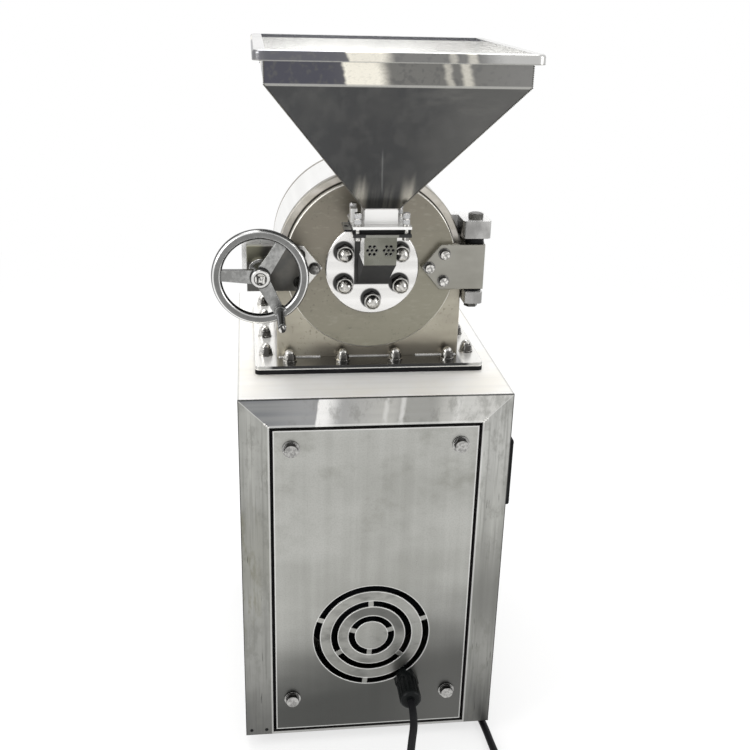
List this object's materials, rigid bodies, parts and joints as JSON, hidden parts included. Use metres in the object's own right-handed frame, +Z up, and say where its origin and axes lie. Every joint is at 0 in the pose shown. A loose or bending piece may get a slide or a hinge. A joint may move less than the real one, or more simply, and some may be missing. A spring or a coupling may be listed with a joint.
{
  "type": "food pulverizer",
  "caption": "Floor-standing pin mill: square hopper with slide gate over a round mill with a hinged, screw-clamped door, on a steel cabinet with motor, belt drive and side discharge.",
  "frame": {"origin": "on the floor under the middle of the machine", "axes": "+Z up, the door and access panel face -Y, the hinge is on +X"},
  "size_m": [0.477, 0.9799, 1.095],
  "materials": {
    "cabinet_steel": "brushed stainless sheet",
    "mill_steel": "satin ground stainless steel",
    "hopper_steel": "brushed stainless sheet, welded",
    "bright_steel": "bright turned steel",
    "wheel_chrome": "plated and polished",
    "fastener_steel": "stainless fasteners",
    "tool_steel": "machined steel",
    "bearing_steel": "ground bearing steel",
    "housing_iron": "grey cast iron",
    "motor_paint": "blue-grey enamel",
    "black_rubber": "black rubber",
    "belt_rubber": "fabric-faced belt rubber",
    "black_plastic": "black moulded plastic",
    "green_plastic": "green button",
    "red_plastic": "red button"
  },
  "bodies": {
    "base": {"cabinet_shell": "cabinet_steel", "front_frame": "cabinet_steel", "base_tray": "cabinet_steel", "access_panel": "cabinet_steel", "panel_seal": "black_rubber", "rear_panel": "cabinet_steel", "panel_bolts": "fastener_steel", "feet": "black_rubber", "cable_gland": "black_plastic", "starter_box": "black_plastic", "discharge_chute": "cabinet_steel", "discharge_spout": "cabinet_steel", "cover_bolts": "fastener_steel", "bed_gasket": "black_rubber", "bed_plate": "mill_steel", "bed_bolts": "fastener_steel", "chamber_front_plate": "mill_steel", "chamber_shell": "mill_steel", "chamber_rear_plate": "mill_steel", "ring_sieve": "bright_steel", "hinge_bracket": "mill_steel", "hinge_pin": "bright_steel", "hinge_washers": "black_rubber", "clamp_block": "mill_steel", "bearing_housing": "housing_iron", "bearings": "bearing_steel", "bearing_cover": "housing_iron", "belt_guard": "cabinet_steel", "drive_belts": "belt_rubber", "motor_body": "motor_paint", "fan_cowl": "motor_paint", "motor_rails": "cabinet_steel", "cord": "black_rubber", "cord_coil": "black_rubber", "coil_tie": "black_plastic", "plug": "black_plastic"},
    "start_button": {"start_button": "green_plastic"},
    "stop_button": {"stop_button": "red_plastic"},
    "rotor": {"mill_shaft": "tool_steel", "rotor_disc": "tool_steel", "rotor_nut": "fastener_steel", "driven_pulley": "housing_iron"},
    "motor_rotor": {"motor_shaft": "tool_steel", "drive_pulley": "housing_iron", "motor_fan": "black_plastic"},
    "door": {"door": "mill_steel", "door_gasket": "black_rubber", "feed_flange": "bright_steel", "feed_nuts": "fastener_steel", "stator_ring": "tool_steel", "hinge_leaf": "mill_steel", "clasp_leaf": "mill_steel", "door_bolts": "fastener_steel", "feed_chute": "hopper_steel", "hopper": "hopper_steel"},
    "gate": {"slide_gate": "hopper_steel"},
    "clamp_carrier": {"thrust_collar": "bright_steel"},
    "clamp_wheel": {"handwheel": "wheel_chrome", "wheel_spindles": "fastener_steel"},
    "wheel_grip": {"handle_grip": "wheel_chrome"}
  },
  "joints": [
    {"name": "door_swing", "type": "hinge", "parent": "base", "child": "door", "pos_m": [0.155, -0.073, 0.776], "axis": [0, 0, 1], "range_deg": [0, 110]},
    {"name": "gate_slide", "type": "slide", "parent": "door", "child": "gate", "axis": [-1, 0, 0], "range_m": [0, 0.052]},
    {"name": "clamp_travel", "type": "slide", "parent": "door", "child": "clamp_carrier", "axis": [0, -1, 0], "range_m": [0, 0.012]},
    {"name": "wheel_spin", "type": "hinge", "parent": "clamp_carrier", "child": "clamp_wheel", "pos_m": [-0.164, -0.134, 0.776], "axis": [0, -1, 0], "range_deg": [0, 2160]},
    {"name": "grip_spin", "type": "hinge", "parent": "clamp_wheel", "child": "wheel_grip", "pos_m": [-0.13637, -0.18, 0.72615], "axis": [0, -1, 0], "continuous": true},
    {"name": "motor_spin", "type": "hinge", "parent": "base", "child": "motor_rotor", "pos_m": [0, 0.1, 0.207], "axis": [0, 1, 0], "continuous": true},
    {"name": "rotor_spin", "type": "hinge", "parent": "base", "child": "rotor", "pos_m": [0, 0.1, 0.776], "axis": [0, 1, 0], "continuous": true},
    {"name": "start_press", "type": "slide", "parent": "base", "child": "start_button", "axis": [-1, 0, 0], "range_m": [0, 0.004], "stiffness_N_per_m": 800},
    {"name": "stop_press", "type": "slide", "parent": "base", "child": "stop_button", "axis": [-1, 0, 0], "range_m": [0, 0.004], "stiffness_N_per_m": 800}
  ],
  "couplings": [
    {"joint": "rotor_spin", "follows": "motor_spin", "ratio": 1.5369},
    {"joint": "clamp_travel", "follows": "wheel_spin", "m_per_rad": 0.000317}
  ]
}
